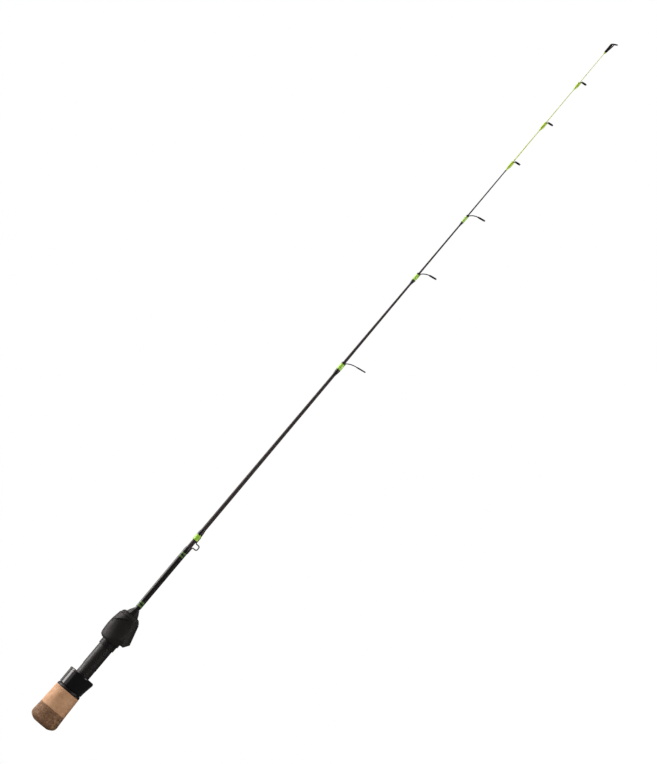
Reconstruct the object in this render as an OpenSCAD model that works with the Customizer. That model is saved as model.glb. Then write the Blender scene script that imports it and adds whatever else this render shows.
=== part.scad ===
// Ice fishing rod: a short tapered blank with a spring tip, guides on single feet, a hook keeper,
// and a reel seat whose rear hood is screwed forward by a cork knob.
// The rod lies along +X from the butt face to the tip-top. Reel and guides hang towards -Z.

/* [Rod] */
// Length from the butt face to the tip-top ring
rod_len = 711.2; // [700:0.2:760]
// Radius of the wound and varnished length ahead of the grip
fore_r = 2.38; // [2.3:0.01:2.6]

/* [Butt knob] */
// Length of the burl cork cap
cap_len = 15.6; // [13:0.2:16]
// Largest radius of the cap
cap_r = 12.4; // [12.3:0.05:13.5]
// Radius of the rounding on the cap's rear edge
cap_round = 5.5; // [2:0.5:5.5]
// Radius of the light cork where it meets the knob's flange
cork_front_r = 11.2; // [11.2:0.05:12]

/* [Screw] */
// Pitch of the screw that drives the rear hood
pitch = 2; // [2:0.5:3]
// Clearance between the thread's crests and its nut
screw_gap = 0.3; // [0.25:0.01:0.4]

/* [Reel seat] */
// Radius of the seat barrel between the hoods
barrel_r = 6.3; // [6.3:0.05:6.6]
// Radius of the barrel where the rear hood runs
track_r = 6.1; // [6.0:0.02:6.2]
// Clearance of the rear hood on its track
hood_gap = 0.06; // [0.04:0.01:0.09]
// Radius of the rear hood's round body
hood_r = 10.7; // [10.6:0.05:11]
// Wall of each hood's pocket
pocket_wall = 1.3; // [1.1:0.1:1.5]

/* [Front grip] */
// Largest radius of the front grip
grip_r = 11; // [10.8:0.1:11.4]
// Distance between the two finger panels
panel_width = 20; // [19.4:0.2:21]

/* [Guides] */
// Reach of each guide from the rod's axis to the middle of its ring
guide_reach = [13.9, 10.3, 10.1, 3.5, 3.35, 3.05]; // [3:0.05:16]
// Outer diameter of each guide
guide_od = [8.6, 6.7, 6.7, 5.0, 4.9, 4.7]; // [4.4:0.1:9]
// Lean of each guide towards the tip, in degrees
guide_lean = [9.5, 10, 10, 8, 8, 8]; // [5:0.5:12]

/* [Hidden] */
$fn = 64;
EPS = 0.01;

// Stations along the grip
FLANGE_X = 34.1;
KNOB_FRONT_X = 36.7;
HOOD_REAR_X = 36.9;
HOOD_FRONT_X = 51.4;
TRACK_X = 44;
SHOULDER_X = 60;
COLLAR_X = 80.5;
GRIP_X = 85.5;
BARREL_END_X = 100;
RING_X = 110.4;
NOSE_X = 113.8;
NOSE_END_X = 119.8;
STUB_X = 24.6;

// Stations ahead of the grip
FORE_END_X = 184.2;
KEEPER_X = [185.7, 190];
KEEPER_DROP = 6.5;
KEEPER_WIRE_R = 0.42;
KEEPER_BEND_R = 1.3;
KEEPER_WRAP_X = [191.3, 202.6];
KEEPER_BAND_X = [191.8, 197];
TRIM_REAR_X = [122.5, 125.6];
TRIM_FRONT_X = [174, 177];
TRIM_LEN = 1.6;

// Radius of the blank and of the spring tip, against share of the rod's length
BLANK_RADII = [[0.03, 2.3], [0.29, 1.8], [0.385, 1.6], [0.507, 1.32], [0.6, 1.0], [0.695, 0.68], [0.818, 0.45]];
TIP_RADII = [[0.818, 0.45], [0.858, 0.37], [0.911, 0.28], [0.993, 0.22]];
BLANK_X = 26;
TIP_X = 0.818 * rod_len;
TIP_END_X = rod_len - 5.2;

// Knob: the nut inside the cork
NUT_BODY_R = 8;
NUT_WELL_X = cap_len + 0.8;
NUT_WELL_R = 6.45;
NUT_THREAD_X = [27, 35.8];
NECK_R = 8;
NECK_LIP_R = 8.9;
NECK_LIP_X = [38.4, 39.7];

// Thread on the barrel's rear end
THREAD_ROOT_R = 5;
THREAD_CREST_R = 5.5;

// Hood: the groove for its snap ring, and the key that stops it turning
CLIP_X = [37.35, 38.1];
CLIP_R = [8.3, 9.9];
WELL_R = 9.3;
WELL_END_X = 40.5;
KEY_W = 2.4;
KEY_GAP = 0.15;
KEY_Z = 5.1;

// Collar, set a little low on the barrel
COLLAR_R = 7;
COLLAR_DROP = 0.5;

// Bores that hold the blank
BARREL_BORE_R = 3.6;
REAR_ARBOR_X = [27, 42];
FRONT_ARBOR_X = [78, 98];

// Guide stations: the front end of each thread wrap, as a share of the rod's length
GUIDE_SHARE = [0.5295, 0.6603, 0.7455, 0.824, 0.8813, 0.9403];
guide_x = [for (share = GUIDE_SHARE) share * rod_len];
WRAP_LEN = [13.1, 11.4, 11.2, 9.1, 9.1, 8.6];
WRAP_R = [1.85, 1.5, 1.08, 1.0, 0.95, 0.9];
BAND_LEN = [5.5, 5.2, 5.6];
BAND_FROM_END = 1.4;
LEG_RUN = [3.7, 4.0, 3.9];
FOOT_T = 0.36;
FOOT_W = 1.1;
SMALL_FOOT_T = 0.24;
SMALL_FOOT_W = 0.9;
LEG_R = 0.42;
WIRE_SIDES = 12;
HOOP_WALL = 0.6;
HOOP_T = 0.9;
RING_WALL = 0.5;
RING_T = 1.15;

// Tip-top
TIP_TUBE_X = [rod_len - 11.2, rod_len - 2.8];
TIP_TUBE_R = 0.98;
TIP_COLLAR_LEN = 1.4;
TIP_RING_OD = 5.3;
TIP_RING_LEAN = 30;
TIP_RING_X = rod_len - 1.61;
TIP_RING_Z = -1.85;

function blank_r(x) = lookup(x / rod_len, BLANK_RADII);
function tip_r(x) = lookup(x / rod_len, TIP_RADII);
function rod_r(x) = x < TIP_X ? blank_r(x) : tip_r(x);
// Points of an arc, as [x, radius], about a centre in the profile's plane
function arc(cx, cr, rad, from, to, steps = 8) =
    [for (i = [0:steps]) let (a = from + (to - from) * i / steps) [cx + rad * cos(a), cr + rad * sin(a)]];

function unit(v) = v / norm(v);
// Points along a cubic curve with four control points
function curve(p, steps = 8) =
    [for (i = [0:steps]) let (t = i / steps, u = 1 - t)
        u * u * u * p[0] + 3 * u * u * t * p[1] + 3 * u * t * t * p[2] + t * t * t * p[3]];

// A solid turned about the rod's axis, from its profile as [x, radius] points
module turned(profile) {
    rotate([0, 90, 0])
        rotate_extrude()
            polygon([for (p = profile) [p[1], p[0]]]);
}

// A tube about the rod's axis
module tube(x0, x1, outer, inner) {
    turned([[x0, inner], [x1, inner], [x1, outer], [x0, outer]]);
}

// A plain cylinder along X
module bar(x0, x1, r) {
    translate([x0, 0, 0])
        rotate([0, 90, 0])
            cylinder(h = x1 - x0, r = r);
}

// A round cone between two points in the XZ plane
module leaning_cone(x0, z0, r0, x1, z1, r1) {
    translate([x0, 0, z0])
        rotate([0, 90 + atan2(z0 - z1, x1 - x0), 0])
            cylinder(h = norm([x1 - x0, z1 - z0]), r1 = r0, r2 = r1);
}

// A straight wire between two points
module wire(p, q, r) {
    d = q - p;
    translate(p)
        rotate([0, acos(d[2] / norm(d)), atan2(d[1], d[0])])
            cylinder(h = norm(d), r = r);
}

// A wire of round section swept along a list of points that lie near an XZ plane
module bent_wire(points, r) {
    last = len(points) - 1;
    rings = [for (i = [0:last])
        let (ahead = unit(points[min(i + 1, last)] - points[max(i - 1, 0)]),
            across = unit(cross(ahead, [0, 1, 0])),
            up = cross(across, ahead))
        for (k = [0:WIRE_SIDES - 1])
            points[i] + r * (cos(360 * k / WIRE_SIDES) * across + sin(360 * k / WIRE_SIDES) * up)];
    sides = [for (i = [0:last - 1], k = [0:WIRE_SIDES - 1])
        let (a = i * WIRE_SIDES + k, b = i * WIRE_SIDES + (k + 1) % WIRE_SIDES)
        [b, b + WIRE_SIDES, a + WIRE_SIDES, a]];
    ends = [[for (k = [WIRE_SIDES - 1:-1:0]) k], [for (k = [0:WIRE_SIDES - 1]) last * WIRE_SIDES + k]];
    polyhedron(points = rings, faces = concat(sides, ends));
}

// A threaded bar, its thread drawn as rings one pitch apart
module threaded_bar(x0, x1) {
    turned(concat([[x0, 0], [x0, THREAD_ROOT_R]],
        [for (x = [x0 + 0.6:pitch:x1 - pitch]) each [[x, THREAD_ROOT_R], [x + 0.25 * pitch, THREAD_CREST_R],
            [x + 0.45 * pitch, THREAD_CREST_R], [x + 0.7 * pitch, THREAD_ROOT_R]]],
        [[x1, THREAD_ROOT_R], [x1, 0]]));
}

// A thread winding over the rod from x0 to x1, thinning out over its first stretch
module winding(x0, x1, r, thin) {
    turned([[x0, rod_r(x0)], [x1, rod_r(x1)], [x1, r - 0.1], [x1 - 0.2, r], [x0 + thin, r],
        [x0 + thin / 2, (r + rod_r(x0)) / 2 + 0.08], [x0, rod_r(x0) + 0.06]]);
}

// ---- Rod ----

module blank() {
    color([0.17, 0.15, 0.15])
        turned(concat([[BLANK_X, 0], [BLANK_X, blank_r(BLANK_X)]],
            [for (s = BLANK_RADII) if (s[0] * rod_len > BLANK_X + 1) [s[0] * rod_len, s[1]]],
            [[TIP_X, 0]]));
}

module tip_section() {
    color([0.72, 0.86, 0.2])
        turned(concat([[TIP_X, 0]], [for (s = TIP_RADII) if (s[0] < 0.99) [s[0] * rod_len, s[1]]],
            [[TIP_END_X, tip_r(TIP_END_X)], [TIP_END_X, 0]]));
}

module fore_wrap() {
    trims = concat(TRIM_REAR_X, TRIM_FRONT_X);
    color([0.12, 0.11, 0.11])
        difference() {
            turned([[NOSE_END_X, blank_r(NOSE_END_X)], [FORE_END_X, blank_r(FORE_END_X)],
                [FORE_END_X, blank_r(FORE_END_X) + 0.08], [FORE_END_X - 2.5, fore_r - 0.05],
                [FORE_END_X - 3.5, fore_r + 0.04], [FORE_END_X - 6, fore_r + 0.04],
                [FORE_END_X - 7, fore_r], [NOSE_END_X, fore_r]]);
            for (x = trims)
                tube(x, x + TRIM_LEN, fore_r + 1, fore_r - 0.14);
            keeper_foot(FORE_END_X - 5, FORE_END_X + 1);
        }
}

module trim_bands(stations) {
    color([0.3, 0.5, 0.18])
        for (x = stations)
            tube(x, x + TRIM_LEN, fore_r + 0.03, fore_r - 0.14);
}

module keeper_foot(x0, x1) {
    top = -blank_r(x0) - 0.02;
    translate([x0, -FOOT_W / 2, top - FOOT_T])
        cube([x1 - x0, FOOT_W, FOOT_T]);
}

module hook_keeper() {
    rear = KEEPER_X[0];
    front = KEEPER_X[1];
    top = -blank_r(rear) - KEEPER_WIRE_R / 2;
    low = -KEEPER_DROP;
    bend = KEEPER_BEND_R;
    points = concat([[rear + 0.2, 0, top], [rear, 0, (top + low + bend) / 2]],
        [for (a = [180:22.5:270]) [rear + bend + bend * cos(a), 0, low + bend + bend * sin(a)]],
        [for (a = [270:22.5:360]) [front - bend + bend * cos(a), 0, low + bend + bend * sin(a)]],
        [[front, 0, (top + low + bend) / 2], [front - 0.2, 0, top]]);
    color([0.45, 0.43, 0.42])
        union() {
            bent_wire(points, KEEPER_WIRE_R);
            keeper_foot(FORE_END_X - 5, KEEPER_X[0]);
            keeper_foot(KEEPER_X[1], KEEPER_WRAP_X[0] + 5);
        }
}

module keeper_wrap() {
    x0 = KEEPER_WRAP_X[0];
    x1 = KEEPER_WRAP_X[1];
    color([0.12, 0.11, 0.11])
        difference() {
            turned([[x0, blank_r(x0)], [x1, blank_r(x1)], [x1, blank_r(x1) + 0.06], [x1 - 3, fore_r - 0.15],
                [x1 - 4.5, fore_r - 0.05], [x0 + 0.2, fore_r - 0.05], [x0, fore_r - 0.15]]);
            tube(KEEPER_BAND_X[0], KEEPER_BAND_X[1], fore_r + 1, fore_r - 0.1);
            keeper_foot(x0 - 1, x0 + 5);
        }
}

module keeper_band() {
    color([0.6, 0.85, 0.2])
        tube(KEEPER_BAND_X[0], KEEPER_BAND_X[1], fore_r + 0.02, fore_r - 0.1);
}

// ---- Butt knob, which screws along the barrel ----

module butt_cap() {
    color([0.62, 0.48, 0.36])
        turned(concat([[0, 0]], arc(cap_round, cap_r - cap_round, cap_round, 180, 90),
            [[cap_round + 1, cap_r], [cap_len, cap_r - 0.55], [cap_len, 0]]));
}

module cork_grip() {
    color([0.86, 0.7, 0.52])
        tube_tapered(cap_len, FLANGE_X, cap_r - 0.55, cork_front_r, NUT_BODY_R);
}

module tube_tapered(x0, x1, r0, r1, inner) {
    turned([[x0, inner], [x1, inner], [x1, r1], [x0, r0]]);
}

module knob_nut() {
    color([0.13, 0.12, 0.12])
        difference() {
            turned([[cap_len, 0], [cap_len, NUT_BODY_R], [FLANGE_X, NUT_BODY_R], [FLANGE_X, 10.9],
                [FLANGE_X + 0.3, 11.15], [KNOB_FRONT_X - 0.4, 10.75], [KNOB_FRONT_X, 10.4],
                [KNOB_FRONT_X, NECK_R], [NECK_LIP_X[0], NECK_R], [NECK_LIP_X[0], NECK_LIP_R],
                [NECK_LIP_X[1], NECK_LIP_R - 0.4], [NECK_LIP_X[1], 0]]);
            bar(NUT_WELL_X, NUT_THREAD_X[0], NUT_WELL_R);
            bar(NUT_THREAD_X[1], NECK_LIP_X[1] + 1, NUT_WELL_R);
            bar(NUT_THREAD_X[0] - 0.5, NUT_THREAD_X[1] + 0.5, THREAD_CREST_R + screw_gap);
        }
}

// ---- Rear hood, which slides on the barrel ----

module hood_flare(inset) {
    leaning_cone(37.5, -0.6, 10.45 - inset, 54.1, -7.1, 6.25 - inset);
}

module rear_hood() {
    color([0.08, 0.07, 0.08])
        difference() {
            union() {
                turned(concat([[HOOD_REAR_X, 0], [HOOD_REAR_X, hood_r - 0.5], [HOOD_REAR_X + 0.6, hood_r - 0.05],
                    [HOOD_FRONT_X - 1.9, hood_r - 0.05], [HOOD_FRONT_X - 1.6, hood_r + 0.15]],
                    arc(HOOD_FRONT_X - 0.5, hood_r - 0.35, 0.5, 90, 0, 4), [[HOOD_FRONT_X, 0]]));
                intersection() {
                    hood_flare(0);
                    translate([HOOD_REAR_X + 0.6, -15, -16])
                        cube([HOOD_FRONT_X - HOOD_REAR_X - 0.6, 30, 18]);
                }
            }
            bar(HOOD_REAR_X - 1, HOOD_FRONT_X + 1, track_r + hood_gap);
            bar(HOOD_REAR_X - 1, WELL_END_X, WELL_R);
            bar(CLIP_X[0], CLIP_X[1], CLIP_R[1]);
            intersection() {
                hood_flare(pocket_wall);
                translate([WELL_END_X + 1.2, -6, -16])
                    cube([HOOD_FRONT_X - WELL_END_X, 12, 16 - track_r + 0.5]);
            }
        }
    // The key that runs in the barrel's keyway
    color([0.08, 0.07, 0.08])
        translate([TRACK_X + 0.5, -KEY_W / 2 + KEY_GAP, KEY_Z + KEY_GAP])
            cube([HOOD_FRONT_X - TRACK_X - 0.5, KEY_W - 2 * KEY_GAP, track_r - KEY_Z + 0.3]);
}

module snap_ring() {
    color([0.75, 0.75, 0.77])
        difference() {
            tube(CLIP_X[0], CLIP_X[1], CLIP_R[1], CLIP_R[0]);
            translate([CLIP_X[0] - 1, -1.5, 0])
                cube([3, 3, 12]);
        }
}

// ---- Reel seat and front grip ----

module seat_barrel() {
    color([0.16, 0.16, 0.15])
        difference() {
            union() {
                threaded_bar(STUB_X, TRACK_X + 0.2);
                turned([[TRACK_X, 0], [TRACK_X, 5.6], [TRACK_X + 0.5, track_r], [SHOULDER_X, track_r],
                    [SHOULDER_X + 0.2, barrel_r], [BARREL_END_X, barrel_r], [BARREL_END_X, 0]]);
            }
            bar(STUB_X - 1, BARREL_END_X + 1, BARREL_BORE_R);
            translate([TRACK_X - 1, -KEY_W / 2, KEY_Z])
                cube([SHOULDER_X - TRACK_X + 1, KEY_W, 3]);
        }
}

module arbor(span) {
    color([0.45, 0.43, 0.4])
        turned([[span[0], blank_r(span[0])], [span[1], blank_r(span[1])], [span[1], BARREL_BORE_R],
            [span[0], BARREL_BORE_R]]);
}

module seat_collar() {
    color([0.1, 0.1, 0.1])
        difference() {
            translate([0, 0, -COLLAR_DROP])
                bar(COLLAR_X, GRIP_X, COLLAR_R);
            bar(COLLAR_X - 1, GRIP_X + 1, barrel_r);
        }
}

module lip_cone(inset) {
    leaning_cone(86, -7.82, 8.35 - inset, 108.5, -0.52, 9.4 - inset);
}

module front_grip() {
    egg = concat([[GRIP_X, 0], [GRIP_X, 7.9], [GRIP_X + 0.3, 8.15], [86.9, 9.8]],
        [[88.5, grip_r - 0.6], [91.7, grip_r - 0.2], [96.5, grip_r], [100, grip_r - 0.1],
        [102.9, grip_r - 0.4], [106, grip_r - 0.9], [108.4, grip_r - 1.35], [RING_X, 9.4], [RING_X, 0]]);
    color([0.14, 0.13, 0.13])
        difference() {
            union() {
                turned(egg);
                intersection() {
                    lip_cone(0);
                    translate([GRIP_X + 1, -15, -18])
                        cube([RING_X - GRIP_X - 1, 30, 18]);
                }
            }
            // The mouth, cut square behind the lip and then sloping under it
            rotate([90, 0, 0])
                translate([0, 0, -20])
                    linear_extrude(height = 40)
                        polygon([[80, -8.2], [89, -8.2], [89, -11.1], [93.7, -14.3], [93.7, -25], [80, -25]]);
            // The pocket that takes the reel's front foot
            intersection() {
                lip_cone(pocket_wall);
                translate([GRIP_X + 1, -6.2, -18])
                    cube([17, 12.4, 18 - 8.2]);
            }
            // Finger panels
            for (side = [-1, 1])
                translate([98.5, side * (panel_width / 2 + 30), 1])
                    rotate([0, -8, side * -2])
                        cylinder(h = 60, r = 30, center = true, $fn = 128);
            bar(GRIP_X - 1, BARREL_END_X, barrel_r);
            bar(BARREL_END_X - 1, RING_X + 1, blank_r(BARREL_END_X));
        }
}

module grip_ring() {
    r = blank_r(RING_X);
    color([0.1, 0.1, 0.1])
        turned([[RING_X, r], [RING_X, 9.2], [RING_X + 0.3, 9.45], [112.4, 8.1], [NOSE_X, 6.3], [NOSE_X, r]]);
}

module nose_cone() {
    color([0.1, 0.1, 0.1])
        difference() {
            union() {
                translate([NOSE_X, 0, 0])
                    rotate([0, 90, 0])
                        rotate([0, 0, 22.5])
                            cylinder(h = 2.4, r1 = 5.9, r2 = 4.9, $fn = 8);
                translate([NOSE_X + 2.4, 0, 0])
                    rotate([0, 90, 0])
                        rotate([0, 0, 22.5])
                            cylinder(h = NOSE_END_X - NOSE_X - 2.4, r1 = 4.9, r2 = 2.75, $fn = 8);
            }
            bar(NOSE_X - 1, NOSE_END_X + 1, blank_r(NOSE_X));
        }
}

// ---- Guides ----

// Sets its children in a ring's own place: the ring's axis is X, leaning back from the tip
module at_ring(x, z, lean) {
    translate([x, 0, z])
        rotate([0, -lean, 0])
            children();
}

module hoop(od) {
    r = od / 2;
    turned([[-HOOP_T / 2, r - HOOP_WALL], [HOOP_T / 2, r - HOOP_WALL], [HOOP_T / 2, r - 0.2],
        [HOOP_T / 2 - 0.2, r], [-HOOP_T / 2 + 0.2, r], [-HOOP_T / 2, r - 0.2]]);
}

module ring_insert(od) {
    outer = od / 2 - HOOP_WALL;
    inner = outer - RING_WALL;
    t = RING_T / 2;
    turned([[-t + 0.2, outer], [t - 0.2, outer], [t, outer - 0.2], [t, inner + 0.25], [t - 0.1, inner + 0.08],
        [t - 0.3, inner], [-t + 0.3, inner], [-t + 0.1, inner + 0.08], [-t, inner + 0.25], [-t, outer - 0.2]]);
}

// Where a guide's ring sits: ahead of its wrap by the run of its legs
function ring_x(i) = guide_x[i] + (i < 3 ? LEG_RUN[i] + 0.5 : 1.2);

module guide_foot(i) {
    x0 = guide_x[i] - WRAP_LEN[i] + 2.5;
    thick = i < 2 ? FOOT_T : SMALL_FOOT_T;
    wide = i < 2 ? FOOT_W : SMALL_FOOT_W;
    translate([x0, -wide / 2, -rod_r(x0) - thick])
        cube([guide_x[i] + 0.4 - x0, wide, thick]);
}

module guide_frame(i) {
    x = ring_x(i);
    reach = guide_reach[i];
    od = guide_od[i];
    lean = guide_lean[i];
    near = od / 2 - HOOP_WALL / 2;
    foot_z = -rod_r(guide_x[i]) - 0.4;
    color([0.2, 0.17, 0.17])
        union() {
            at_ring(x, -reach, lean)
                hoop(od);
            guide_foot(i);
            for (side = [-1, 1]) {
                turn = i < 3 ? 38 : 62;
                a = side * turn;
                up = near * cos(turn);
                hold = [x - up * sin(lean), near * sin(a), -reach + up * cos(lean)];
                start = [guide_x[i] + 0.1, side * 0.35, foot_z];
                if (i < 3) {
                    knee = [guide_x[i] + LEG_RUN[i] * 0.5, side * 0.45, foot_z - reach * 0.14];
                    shin = [guide_x[i] + LEG_RUN[i] * 0.85, side * 1.3, foot_z - reach * 0.36];
                    bent_wire(curve([start, knee, shin, hold]), LEG_R);
                } else {
                    wire(start, hold, LEG_R * 0.8);
                }
            }
        }
}

module guide_ring(i) {
    color([0.25, 0.22, 0.22])
        at_ring(ring_x(i), -guide_reach[i], guide_lean[i])
            ring_insert(guide_od[i]);
}

module guide_wrap(i) {
    x1 = guide_x[i];
    x0 = x1 - WRAP_LEN[i];
    shade = i < 3 ? [0.12, 0.11, 0.11] : [0.7, 0.85, 0.2];
    color(shade)
        difference() {
            winding(x0, x1, WRAP_R[i], 5);
            if (i < 3)
                tube(x1 - BAND_FROM_END - BAND_LEN[i], x1 - BAND_FROM_END, WRAP_R[i] + 1, WRAP_R[i] - 0.1);
            guide_foot(i);
        }
}

module guide_band(i) {
    x1 = guide_x[i] - BAND_FROM_END;
    color([0.6, 0.85, 0.2])
        tube(x1 - BAND_LEN[i], x1, WRAP_R[i] + 0.03, WRAP_R[i] - 0.1);
}

// ---- Tip-top ----

module tip_top_frame() {
    near = TIP_RING_OD / 2 - HOOP_WALL / 2;
    color([0.12, 0.1, 0.1])
        union() {
            difference() {
                turned([[TIP_TUBE_X[0], 0], [TIP_TUBE_X[0], TIP_TUBE_R], [TIP_TUBE_X[1] - 0.5, TIP_TUBE_R],
                    [TIP_TUBE_X[1], TIP_TUBE_R - 0.3], [TIP_TUBE_X[1], 0]]);
                bar(TIP_TUBE_X[0] - 1, TIP_END_X, 0.28);
            }
            at_ring(TIP_RING_X, TIP_RING_Z, TIP_RING_LEAN)
                hoop(TIP_RING_OD);
            for (side = [-1, 1])
                wire([TIP_TUBE_X[0] + 2.5, side * 0.6, -TIP_TUBE_R + 0.1],
                    [TIP_RING_X - 0.45, side * near * 0.98, TIP_RING_Z + 0.2], 0.38);
        }
}

module tip_top_ring() {
    color([0.25, 0.22, 0.22])
        at_ring(TIP_RING_X, TIP_RING_Z, TIP_RING_LEAN)
            ring_insert(TIP_RING_OD);
}

module tip_collar() {
    x1 = TIP_TUBE_X[0];
    color([0.7, 0.85, 0.2])
        turned([[x1 - TIP_COLLAR_LEN, tip_r(x1)], [x1, tip_r(x1)], [x1, 0.85], [x1 - TIP_COLLAR_LEN + 0.3, 0.75],
            [x1 - TIP_COLLAR_LEN, 0.4]]);
}

blank();
tip_section();
seat_barrel();
arbor(REAR_ARBOR_X);  // rear_arbor
arbor(FRONT_ARBOR_X);  // front_arbor
seat_collar();
front_grip();
grip_ring();
nose_cone();
fore_wrap();
trim_bands(TRIM_REAR_X);  // trim_bands_rear
trim_bands(TRIM_FRONT_X);  // trim_bands_front
hook_keeper();
keeper_wrap();
keeper_band();
butt_cap();
cork_grip();
knob_nut();
rear_hood();
snap_ring();
guide_frame(0);  // guide_1_frame
guide_ring(0);  // guide_1_ring
guide_wrap(0);  // guide_1_wrap
guide_band(0);  // guide_1_band
guide_frame(1);  // guide_2_frame
guide_ring(1);  // guide_2_ring
guide_wrap(1);  // guide_2_wrap
guide_band(1);  // guide_2_band
guide_frame(2);  // guide_3_frame
guide_ring(2);  // guide_3_ring
guide_wrap(2);  // guide_3_wrap
guide_band(2);  // guide_3_band
guide_frame(3);  // guide_4_frame
guide_ring(3);  // guide_4_ring
guide_wrap(3);  // guide_4_wrap
guide_frame(4);  // guide_5_frame
guide_ring(4);  // guide_5_ring
guide_wrap(4);  // guide_5_wrap
guide_frame(5);  // guide_6_frame
guide_ring(5);  // guide_6_ring
guide_wrap(5);  // guide_6_wrap
tip_top_frame();
tip_top_ring();
tip_collar();
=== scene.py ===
"""An ice fishing rod: cork knob, clamp reel seat, egg-shaped grip, varnished blank, guides and spring tip."""

import math

import bpy
from mathutils import Matrix, Vector, noise


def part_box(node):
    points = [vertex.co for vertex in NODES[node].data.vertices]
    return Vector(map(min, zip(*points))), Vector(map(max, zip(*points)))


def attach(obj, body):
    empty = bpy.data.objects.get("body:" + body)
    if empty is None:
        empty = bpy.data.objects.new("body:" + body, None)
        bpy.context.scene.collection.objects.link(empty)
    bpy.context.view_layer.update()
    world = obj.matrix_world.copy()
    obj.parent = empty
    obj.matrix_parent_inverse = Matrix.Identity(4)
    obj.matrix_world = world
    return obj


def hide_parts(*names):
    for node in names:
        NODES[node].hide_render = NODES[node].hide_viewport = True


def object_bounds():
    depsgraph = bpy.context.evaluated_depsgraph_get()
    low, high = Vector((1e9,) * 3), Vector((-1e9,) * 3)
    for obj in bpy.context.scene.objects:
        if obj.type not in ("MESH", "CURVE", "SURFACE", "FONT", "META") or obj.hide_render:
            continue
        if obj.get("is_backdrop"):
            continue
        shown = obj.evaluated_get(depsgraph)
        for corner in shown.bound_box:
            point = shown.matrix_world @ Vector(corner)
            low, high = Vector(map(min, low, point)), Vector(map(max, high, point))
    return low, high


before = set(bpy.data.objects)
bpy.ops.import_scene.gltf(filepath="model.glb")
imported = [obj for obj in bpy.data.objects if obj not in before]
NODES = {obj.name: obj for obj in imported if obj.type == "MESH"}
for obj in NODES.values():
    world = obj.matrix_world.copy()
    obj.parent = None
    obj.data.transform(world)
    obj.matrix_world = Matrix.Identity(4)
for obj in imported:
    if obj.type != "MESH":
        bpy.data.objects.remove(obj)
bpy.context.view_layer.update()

MM = 0.001
MICRON = 0.000001


# ---------------------------------------------------------------- shader maths


class Field:
    """A value that varies over a surface: one socket of a finish's nodes, with arithmetic."""

    def __init__(self, finish, socket):
        self.finish = finish
        self.socket = socket

    def maths(self, operation, *others):
        plugs = {i + 1: other for i, other in enumerate(others)}
        return self.finish.node("ShaderNodeMath", {"operation": operation}, {0: self, **plugs})

    def __add__(self, other):
        return self.maths("ADD", other)

    def __sub__(self, other):
        return self.maths("SUBTRACT", other)

    def __mul__(self, other):
        return self.maths("MULTIPLY", other)

    def __rsub__(self, other):
        return self.finish.node("ShaderNodeMath", {"operation": "SUBTRACT"}, {0: other, 1: self})

    __radd__ = __add__
    __rmul__ = __mul__

    def clipped(self):
        """The value, held between 0 and 1."""
        return self.maths("MAXIMUM", 0.0).maths("MINIMUM", 1.0)

    def wave(self):
        """0 to 1 and back, once for each 2 pi of the value."""
        return self.maths("SINE") * 0.5 + 0.5

    def rise(self, low, high):
        """0 below low, 1 above high, smooth between."""
        return self.finish.node(
            "ShaderNodeMapRange",
            {"interpolation_type": "SMOOTHSTEP"},
            {"Value": self, "From Min": low, "From Max": high},
        )

    def band(self, low, high, edge):
        """1 between low and high, 0 outside, with soft edges."""
        return self.rise(low - edge, low) * (1 - self.rise(high, high + edge))


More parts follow.
